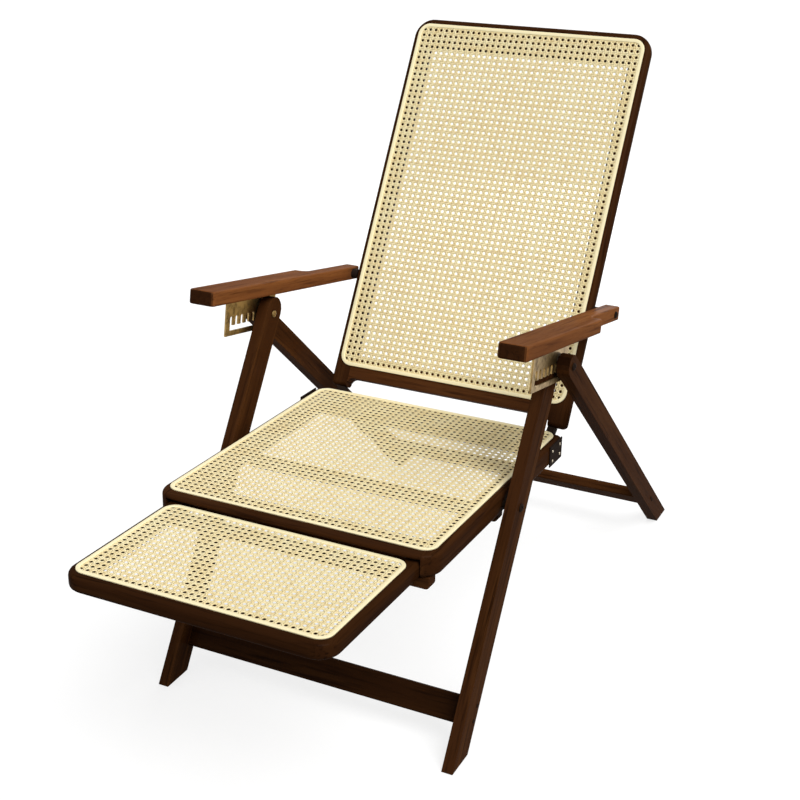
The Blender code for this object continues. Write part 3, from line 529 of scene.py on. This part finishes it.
def panel_frame(name):
    """Return a panel's place (x across, y along it, z out of its top), its width and its length."""
    points = node_points(name)
    lean = lean_of(name)
    along = np.array((0.0, math.cos(lean), math.sin(lean)))
    out = np.array((0.0, -math.sin(lean), math.cos(lean)))
    run = points @ along
    height = (points @ out).max()
    middle = along * (run.max() + run.min()) / 2 + out * height
    place = Matrix(((1, 0, 0, 0), (0, along[1], out[1], middle[1]), (0, along[2], out[2], middle[2]),
                    (0, 0, 0, 1)))
    return place, float(points[:, 0].max() - points[:, 0].min()), float(run.max() - run.min())


def local_points(place, name):
    """Return a CAD node's corner points in a panel's own frame."""
    turned = np.array(place.inverted())
    return node_points(name) @ turned[:3, :3].T + turned[:3, 3]


def clip_outline(outline, axis, limit, keep):
    """Keep the part of a flat outline on one side of a line across an axis."""
    kept = []
    for here, after in zip(outline, outline[1:] + outline[:1]):
        a, b = (here[axis] - limit) * keep, (after[axis] - limit) * keep
        if a >= 0:
            kept.append(here)
        if (a > 0 > b) or (a < 0 < b):
            share = a / (a - b)
            kept.append(tuple(h + share * (n - h) for h, n in zip(here, after)))
    return kept


def rim_outline(half, low, high, radii):
    """Return a rectangle with a radius for its two low and its two high corners."""
    outline = []
    for start, (sx, end, way, radius) in enumerate(((1, high, -1, radii[1]), (-1, high, -1, radii[1]),
                                                    (-1, low, 1, radii[0]), (1, low, 1, radii[0]))):
        centre = (sx * (half - radius), end + way * radius)
        for step in range(CORNER_STEPS + 1):
            turn = (start + step / CORNER_STEPS) * math.pi / 2
            outline.append((centre[0] + radius * math.cos(turn), centre[1] + radius * math.sin(turn)))
    return outline


def rim_mesh(name, outline, low, high, on_rim, rounding):
    """Raise a flat outline to a piece of a frame and round the edges on its outer rim."""
    made = bmesh.new()
    made.faces.new([made.verts.new((x, y, low)) for x, y in outline])
    bmesh.ops.remove_doubles(made, verts=made.verts, dist=SAME_PLACE)
    raised = bmesh.ops.extrude_face_region(made, geom=made.faces[:])["geom"]
    top = [corner for corner in raised if isinstance(corner, bmesh.types.BMVert)]
    bmesh.ops.translate(made, vec=(0, 0, high - low), verts=top)
    bmesh.ops.recalc_face_normals(made, faces=made.faces)
    edges = [edge for edge in made.edges
             if abs(edge.verts[0].co.z - edge.verts[1].co.z) < SAME_LEVEL
             and on_rim((edge.verts[0].co + edge.verts[1].co) / 2)]
    bmesh.ops.bevel(made, geom=edges, offset=rounding, segments=ROUND_SEGMENTS, profile=0.5,
                    affect="EDGES", clamp_overlap=True)
    mesh = bpy.data.meshes.new(name)
    made.to_mesh(mesh)
    made.free()
    for face in mesh.polygons:
        face.use_smooth = True
    mesh.set_sharp_from_angle(angle=SHARP_ANGLE)
    return mesh


class WeaveBuilder:
    """Collects the points, faces and tones of the strands of one panel."""

    def __init__(self):
        self.points = []
        self.faces = []
        self.tones = []

    def add_strand(self, path, aside, width, height, tone):
        """Add one strand with a crowned top along a path of (x, y, z) points."""
        if len(path) < 2:
            return
        first = len(self.points)
        for x, y, z in path:
            self.points.append((x - aside[0] * width / 2, y - aside[1] * width / 2, z))
            self.points.append((x, y, z + height))
            self.points.append((x + aside[0] * width / 2, y + aside[1] * width / 2, z))
        for step in range(len(path) - 1):
            a = first + 3 * step
            for left, right in ((0, 1), (1, 2), (2, 0)):
                self.faces.append((a + left, a + left + 3, a + right + 3, a + right))
        last = first + 3 * (len(path) - 1)
        self.faces.append((first, first + 1, first + 2))
        self.faces.append((last + 2, last + 1, last))
        self.tones += [tone] * (3 * len(path))

    def mesh(self, name):
        """Return the collected strands as a mesh."""
        made = bpy.data.meshes.new(name)
        made.from_pydata(self.points, [], self.faces)
        made.attributes.new("strand_tone", "FLOAT", "POINT").data.foreach_set("value", self.tones)
        made.shade_smooth()
        return made


def inside_span(offset, half_across, half_along, radius):
    """Return how far a line at an offset runs inside a rounded rectangle, from its middle."""
    over = abs(offset) - (half_across - radius)
    if over <= 0:
        return half_along
    if over >= radius:
        return 0.0
    return half_along - radius + math.sqrt(radius * radius - over * over)


def draw_tone(rng):
    """Draw the tone of one strand."""
    return float(np.clip(rng.normal(TONE_MIDDLE, TONE_SPREAD), 0.0, 1.0))


def weave_mesh(name, width, length, level, seed):
    """Weave a panel: pairs of upright and level strands, and two slanting strands through each cell."""
    cane = bpy.context.scene.chair.cane
    rng = np.random.default_rng(seed)
    half_x, half_y = width / 2 - WEAVE_INSET, length / 2 - WEAVE_INSET
    corner = PANEL_RADIUS - WEAVE_INSET
    across = max(1, round((2 * half_x) / cane.pitch))
    along = max(1, round((2 * half_y) / cane.pitch))
    step_x, step_y = 2 * half_x / across, 2 * half_y / along
    lines_x = [-half_x + step_x * (i + 0.5) for i in range(across)]
    lines_y = [-half_y + step_y * (i + 0.5) for i in range(along)]
    woven = WeaveBuilder()
    rise = cane.strand_height * STRAIGHT_RISE
    near = cane.pair_gap / 2

    def straight(lines, crossings, half_across, half_along, upright):
        """Add the pairs of strands along one direction, over and under those that they cross."""
        count = 0
        for line in lines:
            for offset in (-near, near):
                at = line + offset
                span = inside_span(at, half_across, half_along, corner)
                tone = draw_tone(rng)
                count += 1
                if span <= 0:
                    continue
                stops = []
                for index, crossing in enumerate(crossings):
                    for order, beside in enumerate((-near, near)):
                        sign = 1 if (count + 2 * index + order) % 2 else -1
                        stops.append((crossing + beside, sign * rise * (1 if upright else -1)))
                stops = [(s, z) for s, z in stops if -span < s < span]
                stops = [(-span, 0.0)] + stops + [(span, 0.0)]
                path = [(at, s, level + z) if upright else (s, at, level + z) for s, z in stops]
                woven.add_strand(path, (1, 0) if upright else (0, -1), cane.strand_width,
                                 cane.strand_height, tone)

    straight(lines_x, lines_y, half_x, half_y, True)
    straight(lines_y, lines_x, half_y, half_x, False)

    def inside(x, y):
        """Say whether a point is on the panel."""
        span = inside_span(x, half_x, half_y, corner)
        return abs(x) <= half_x and abs(y) <= span

    slope = math.hypot(step_x, step_y)
    for way in (1, -1):
        aside = (step_y / slope, -way * step_x / slope)
        for start in range(-along - 1, across + along + 2):
            tone = draw_tone(rng)
            path = []
            for half_step in range(2 * along + 3):
                x = -half_x + step_x * (start + half_step / 2) + step_x * 0.5
                y = way * (-half_y + step_y * (half_step / 2))
                if inside(x, y):
                    lifted = 1 if half_step % 2 else -1
                    path.append((x, y, level + way * lifted * cane.strand_height * SLANT_RISE))
            woven.add_strand(path, aside if way > 0 else (-aside[0], -aside[1]), cane.slant_width,
                             cane.strand_height, tone)
    return woven.mesh(name)


def rounded_path(half_x, half_y, radius, steps):
    """Return points round a rounded rectangle with the outward direction at each."""
    path = []
    for quarter, (sx, sy) in enumerate(((1, 1), (-1, 1), (-1, -1), (1, -1))):
        for step in range(steps + 1):
            turn = (quarter + step / steps) * math.pi / 2
            way = (math.cos(turn), math.sin(turn))
            path.append((sx * (half_x - radius) + radius * way[0],
                         sy * (half_y - radius) + radius * way[1], *way))
    return path


def binding_mesh(name, width, length):
    """Sweep the smooth, flat cane edge round a panel."""
    wide = bpy.context.scene.chair.cane.binding_width
    shares = ((0.0, -BINDING_DEPTH), (0.0, -0.0008), (-0.03, -0.0004), (-0.08, -0.0002),
              (-0.16, -0.0001), (-0.50, 0.0), (-0.84, -0.0001), (-0.93, -0.0003), (-1.0, -0.0010),
              (-1.0, -BINDING_DEPTH))
    profile = [(share * wide, rise) for share, rise in shares]
    made = bmesh.new()
    rings = []
    for x, y, wx, wy in rounded_path(width / 2, length / 2, PANEL_RADIUS, PANEL_STEPS):
        rings.append([made.verts.new((x + wx * inward, y + wy * inward, rise))
                      for inward, rise in profile])
    for ring, after in zip(rings, rings[1:] + rings[:1]):
        for i in range(len(profile)):
            j = (i + 1) % len(profile)
            made.faces.new((ring[i], ring[j], after[j], after[i]))
    bmesh.ops.recalc_face_normals(made, faces=made.faces)
    mesh = bpy.data.meshes.new(name)
    made.to_mesh(mesh)
    made.free()
    mesh.attributes.new("strand_tone", "FLOAT", "POINT").data.foreach_set(
        "value", [BINDING_TONE] * len(mesh.vertices))
    mesh.shade_smooth()
    return mesh


def screw_mesh(name, radius, turn):
    """Make a domed screw head with a slot, its axis along z."""
    made = bmesh.new()
    turns = [2 * math.pi * i / HEAD_SIDES for i in range(HEAD_SIDES)]
    loops = []
    for share, rise in HEAD_RINGS:
        loops.append([made.verts.new((radius * share * math.cos(around),
                                      radius * share * math.sin(around), radius * rise))
                      for around in turns])
    for lower, upper in zip(loops, loops[1:]):
        for i in range(HEAD_SIDES):
            j = (i + 1) % HEAD_SIDES
            made.faces.new((lower[i], lower[j], upper[j], upper[i]))
    made.faces.new(loops[-1])
    made.faces.new(list(reversed(loops[0])))
    head = bpy.data.meshes.new(name)
    made.to_mesh(head)
    made.free()
    holder = bpy.data.objects.new(name, head)
    cutting = bmesh.new()
    bmesh.ops.create_cube(cutting, size=1.0)
    bmesh.ops.scale(cutting, vec=[radius * size for size in SLOT_SIZE], verts=cutting.verts)
    bmesh.ops.translate(cutting, vec=(0, 0, radius * SLOT_MIDDLE), verts=cutting.verts)
    bmesh.ops.rotate(cutting, cent=(0, 0, 0), matrix=Matrix.Rotation(turn, 3, "Z"),
                     verts=cutting.verts)
    blade = bpy.data.meshes.new(name + "_slot")
    cutting.to_mesh(blade)
    cutting.free()
    knife = bpy.data.objects.new(name + "_slot", blade)
    for piece in (holder, knife):
        bpy.context.scene.collection.objects.link(piece)
    cut = holder.modifiers.new("slot", "BOOLEAN")
    cut.operation = "DIFFERENCE"
    cut.solver = "EXACT"
    cut.object = knife
    depsgraph = bpy.context.evaluated_depsgraph_get()
    mesh = bpy.data.meshes.new_from_object(holder.evaluated_get(depsgraph))
    for piece in (holder, knife):
        bpy.data.objects.remove(piece, do_unlink=True)
    mesh.name = name
    return mesh


def add_heads(kind, places, radius, material):
    """Put slotted heads on the outer side of pieces, at (body, side, x, y, z) places."""
    for index, (body, side, x, y, z) in enumerate(places):
        name = "%s_%d" % (kind, index + 1)
        place = Matrix.Translation((x, y, z)) @ Matrix.Rotation(side * math.pi / 2, 4, "Y")
        head = screw_mesh(name, radius, SLOT_TURN + SLOT_STEP * index)
        link_piece(name, head, material, body, place)


def down_piece(name):
    """Return the direction in which a piece runs down, in the chair's side view."""
    lean = lean_of(name)
    way = np.array((math.cos(lean), math.sin(lean)))
    return -way if way[1] > 0 else way


# Stage ----------------------------------------------------------------------------------------------

def aim_lamp(context, lamp, place):
    """Place a lamp and point it at the middle of the chair."""
    holder = bpy.data.objects.new(lamp.name, lamp)
    holder.location = place
    toward = Vector(LAMP_AIM) - Vector(place)
    holder.rotation_euler = toward.to_track_quat("-Z", "Y").to_euler()
    context.scene.collection.objects.link(holder)


def seen_directly(tree):
    """Return 1 for rays from the camera, in a reflection or through glass, and 0 for light."""
    path = tree.nodes.new("ShaderNodeLightPath")
    seen = add_maths(tree, "MAXIMUM", path.outputs["Is Camera Ray"], path.outputs["Is Glossy Ray"])
    return add_maths(tree, "MAXIMUM", seen, path.outputs["Is Transmission Ray"])


def floor_material(colour):
    """White floor that keeps a soft shadow."""
    made = bpy.data.materials.new("floor")
    made.use_nodes = True
    tree = made.node_tree
    shader = tree.nodes["Principled BSDF"]
    shader.inputs["Base Color"].default_value = (*colour, 1.0)
    shader.inputs["Roughness"].default_value = 0.9
    shader.inputs["Emission Color"].default_value = (1.0, 1.0, 1.0, 1.0)
    lit = add_maths(tree, "MULTIPLY", seen_directly(tree), FLOOR_GLOW)
    tree.links.new(lit, shader.inputs["Emission Strength"])
    return made


# Operators ------------------------------------------------------------------------------------------

class CHAIR_OT_wood(bpy.types.Operator):
    """Polish the wooden pieces, with the grain along each one"""
    bl_idname = "chair.wood"
    bl_label = "Wood"

    def execute(self, context):
        """Give each wooden CAD node its wood."""
        dress(ACROSS_GRAIN, wood_material("wood_across"))
        # The front rail is darkened as painted shade and the back's bottom rail lightened as painted
        # light.
        for rail, tone in RAIL_PAINTED_SHADE_AND_LIGHT:
            dress([rail], wood_material("wood_" + rail, None, tone))
        for group in LEANING_GRAIN:
            names = [group + "_" + side for side, _ in SIDES]
            # The armrests get lighter wood as painted light; the other leaning pieces keep their plain
            # tone.
            tone = context.scene.chair.wood.arm_painted_light if group == "armrest" else 1.0
            dress(names, wood_material("wood_" + group, lean_of(names[0]), tone, END_SHARE))
        return {"FINISHED"}


class CHAIR_OT_rims(bpy.types.Operator):
    """Round the corners of the seat, footrest and back frames and their outer edges"""
    bl_idname = "chair.rims"
    bl_label = "Rounded frames"

    def execute(self, context):
        """Put rounded side pieces and end rails in place of the plain ones."""
        wood = context.scene.chair.wood
        for body, panel, side_group, rail, tone, end in RIMS:
            # The frame's tone darkens its wood as painted shade.
            along = wood_material("wood_%s_rim" % side_group, 0.0, tone)
            across = wood_material("wood_%s_rim" % rail, None, tone)
            place = panel_frame(panel)[0]
            side_points = local_points(place, side_group + "_right")
            inner, half = float(side_points[:, 0].min()), float(side_points[:, 0].max())
            low, high = float(side_points[:, 1].min()), float(side_points[:, 1].max())
            radii = (wood.rim_radius, REAR_RADIUS) if end < 0 else (REAR_RADIUS, wood.rim_radius)
            outline = rim_outline(half, low, high, radii)
            rail_points = local_points(place, rail)
            rail_inner = float(rail_points[:, 1].max() if end < 0 else rail_points[:, 1].min())

            def on_rim(point):
                """Say whether a point is on the frame's outer edge."""
                return not (abs(abs(point.x) - inner) < SAME_PLACE
                            or abs(point.y - rail_inner) < SAME_PLACE)

            bottom, top = float(side_points[:, 2].min()), float(side_points[:, 2].max())
            for side_name, side in SIDES:
                name = side_group + "_" + side_name
                piece = clip_outline(outline, 0, side * inner, side)
                mesh = rim_mesh(name + "_rounded", piece, bottom, top, on_rim, wood.rim_round)
                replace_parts(link_piece(name + "_rounded", mesh, along, body, place), name)
            piece = clip_outline(clip_outline(outline, 0, inner, -1), 0, -inner, 1)
            piece = clip_outline(piece, 1, rail_inner, end)
            bottom, top = float(rail_points[:, 2].min()), float(rail_points[:, 2].max())
            mesh = rim_mesh(rail + "_rounded", piece, bottom, top, on_rim,
                            min(wood.rim_round, (top - bottom) * ROUND_LIMIT))
            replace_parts(link_piece(rail + "_rounded", mesh, across, body, place), rail)
        return {"FINISHED"}


class CHAIR_OT_fittings(bpy.types.Operator):
    """Finish the brass and iron fittings"""
    bl_idname = "chair.fittings"
    bl_label = "Fittings"

    def execute(self, context):
        """Give each metal CAD node its finish."""
        metal = context.scene.chair.metal
        brass = metal_material("aged_brass", metal.brass, metal.tarnish, roughness=0.30, metallic=1.0,
                               amount=0.52)
        iron = metal_material("black_iron", metal.iron, metal.worn, roughness=0.42, metallic=0.0,
                              amount=0.30, gloss=0.004)
        for group in BRASS_NODES:
            dress([group + "_" + side for side, _ in SIDES], brass)
        for group in IRON_NODES:
            dress([group + "_" + side for side, _ in SIDES], iron)
        return {"FINISHED"}


class CHAIR_OT_heads(bpy.types.Operator):
    """Put slotted heads on the bolts, and the screws that hold the rails and the corner plates"""
    bl_idname = "chair.heads"
    bl_label = "Bolt heads and screws"

    def execute(self, context):
        """Place the heads from the CAD nodes that they sit on."""
        metal = context.scene.chair.metal
        iron = bpy.data.materials["black_iron"]
        steel = metal_material("screw_steel", metal.steel, metal.tarnish, roughness=0.30, metallic=1.0,
                               amount=0.30)
        for group, body, inward, finish, slot in BOLTS:
            for side_name, side in SIDES:
                points = node_points(group + "_" + side_name)
                reach = points[:, 0] * side
                face = reach.min() if inward else reach.max()
                rim = points[np.abs(reach - face) < FACE_DEPTH]
                centre = rim[:, 1:].min(0) / 2 + rim[:, 1:].max(0) / 2
                radius = float(np.ptp(rim[:, 1]) / 2)
                x = side * (face + (HEAD_SEAT if inward else -HEAD_SEAT))
                owner = body + side_name if body.endswith("_") else body
                add_heads(group + "_cap_" + side_name, [(owner, -side if inward else side, x, *centre)],
                          radius * HEAD_COVER, bpy.data.materials[finish])
        for side_name, side in SIDES:
            for leg, body, rail, spread in RAIL_SCREWS:
                points = node_points(leg + "_" + side_name)
                rail_points = node_points(rail)[:, 1:]
                centre = rail_points.min(0) / 2 + rail_points.max(0) / 2
                way = down_piece(leg + "_" + side_name)
                x = side * float((points[:, 0] * side).max())
                places = [(body, side, x, *(centre + way * shift)) for shift in (-spread, spread)]
                add_heads("%s_screw_%s" % (rail, side_name), places, metal.screw_radius, iron)
            plate = node_points("seat_corner_plate_" + side_name)
            low, high = plate[:, 1:].min(0), plate[:, 1:].max(0)
            x = side * float((plate[:, 0] * side).max())
            places = [("seat", side, x, *(low + (high - low) * np.array(share)))
                      for share in CORNER_SCREWS]
            add_heads("corner_screw_" + side_name, places, metal.screw_radius * CORNER_SCREW_SIZE, steel)
        return {"FINISHED"}


class CHAIR_OT_cane(bpy.types.Operator):
    """Weave the seat, footrest and back panels and bind their edges"""
    bl_idname = "chair.cane"
    bl_label = "Cane panels"

    def execute(self, context):
        """Put an open weave and its binding in place of each plain panel."""
        material = cane_material("woven_cane")
        for seed, (node, body) in enumerate(PANELS, FIRST_SEED):
            place, width, length = panel_frame(node)
            if body == "footrest":
                lip = local_points(place, "seat_front_lip")[:, 1].min() - LIP_CLEAR
                hidden = length / 2 - float(lip)
                place = place @ Matrix.Translation((0.0, -hidden / 2, 0.0))
                length -= hidden
            place = place @ Matrix.Translation((0.0, 0.0, -PANEL_DROP))
            woven = weave_mesh(node + "_weave", width, length, -WEAVE_DEPTH, seed)
            weave = link_piece(node.replace("_panel", "_weave"), woven, material, body, place)
            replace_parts(weave, node)
            link_piece(node.replace("_cane_panel", "_cane_binding"),
                       binding_mesh(node + "_binding", width, length), material, body, place)
        return {"FINISHED"}


class CHAIR_OT_stage(bpy.types.Operator):
    """Set the camera, the pale floor and the soft studio light"""
    bl_idname = "chair.stage"
    bl_label = "Stage"

    def execute(self, context):
        """Make the camera, the floor, the lamps and the world."""
        stage = context.scene.chair.stage
        forward = Vector((-math.sin(stage.azimuth) * math.cos(stage.elevation),
                          math.cos(stage.azimuth) * math.cos(stage.elevation),
                          -math.sin(stage.elevation)))
        camera = bpy.data.objects.new("camera", bpy.data.cameras.new("camera"))
        context.scene.collection.objects.link(camera)
        camera.location = stage.camera_place
        camera.rotation_euler = forward.to_track_quat("-Z", "Y").to_euler()
        camera.data.lens = stage.lens
        camera.data.sensor_width = SENSOR_WIDTH
        context.scene.camera = camera

        made = bmesh.new()
        bmesh.ops.create_grid(made, x_segments=1, y_segments=1, size=FLOOR_SIZE)
        floor_mesh = bpy.data.meshes.new("floor")
        made.to_mesh(floor_mesh)
        made.free()
        floor_mesh.materials.append(floor_material(stage.floor))
        floor = bpy.data.objects.new("floor", floor_mesh)
        floor.location = (0.0, 0.0, -FLOOR_DROP)
        context.scene.collection.objects.link(floor)

        key = bpy.data.lights.new("key", "SUN")
        key.energy = stage.key_strength
        key.angle = stage.key_softness
        aim_lamp(context, key, KEY_PLACE)
        for name, place, size, power in LAMPS:
            lamp = bpy.data.lights.new(name, "AREA")
            lamp.shape = "DISK"
            lamp.size = size
            lamp.energy = power
            aim_lamp(context, lamp, place)

        world = bpy.data.worlds.new("studio")
        context.scene.world = world
        world.use_nodes = True
        light = world.node_tree.nodes["Background"]
        light.inputs["Color"].default_value = (1.0, 1.0, 1.0, 1.0)
        strength = add_range(world.node_tree, seen_directly(world.node_tree), low=0.0, high=1.0,
                             to_low=WORLD_LIGHT)
        world.node_tree.links.new(strength, light.inputs["Strength"])
        context.scene.view_settings.view_transform = "Standard"
        return {"FINISHED"}


class CHAIR_PT_panel(bpy.types.Panel):
    """Sizes, colours and steps of the chair's looks"""
    bl_label = "Folding Recliner Chair"
    bl_idname = "CHAIR_PT_panel"
    bl_space_type = "VIEW_3D"
    bl_region_type = "UI"
    bl_category = "Chair"

    def draw(self, context):
        """List the operators and their properties."""
        settings = context.scene.chair
        for operator in OPERATORS:
            self.layout.operator(operator.bl_idname)
        for group in (settings.wood, settings.cane, settings.metal, settings.stage):
            box = self.layout.box()
            for name in group.__annotations__:
                box.prop(group, name)


OPERATORS = (CHAIR_OT_stage, CHAIR_OT_wood, CHAIR_OT_rims, CHAIR_OT_fittings, CHAIR_OT_heads,
             CHAIR_OT_cane)
CLASSES = (ChairWood, ChairCane, ChairMetal, ChairStage, ChairSettings, *OPERATORS, CHAIR_PT_panel)


def register():
    """Register the classes and the chair's settings."""
    for made in CLASSES:
        bpy.utils.register_class(made)
    bpy.types.Scene.chair = bpy.props.PointerProperty(type=ChairSettings)


def unregister():
    """Take the classes and the settings away again."""
    del bpy.types.Scene.chair
    for made in reversed(CLASSES):
        bpy.utils.unregister_class(made)


def main():
    """Dress the chair."""
    register()
    bpy.ops.chair.stage()
    bpy.ops.chair.wood()
    bpy.ops.chair.rims()
    bpy.ops.chair.fittings()
    bpy.ops.chair.heads()
    bpy.ops.chair.cane()


if __name__ == "__main__":
    main()
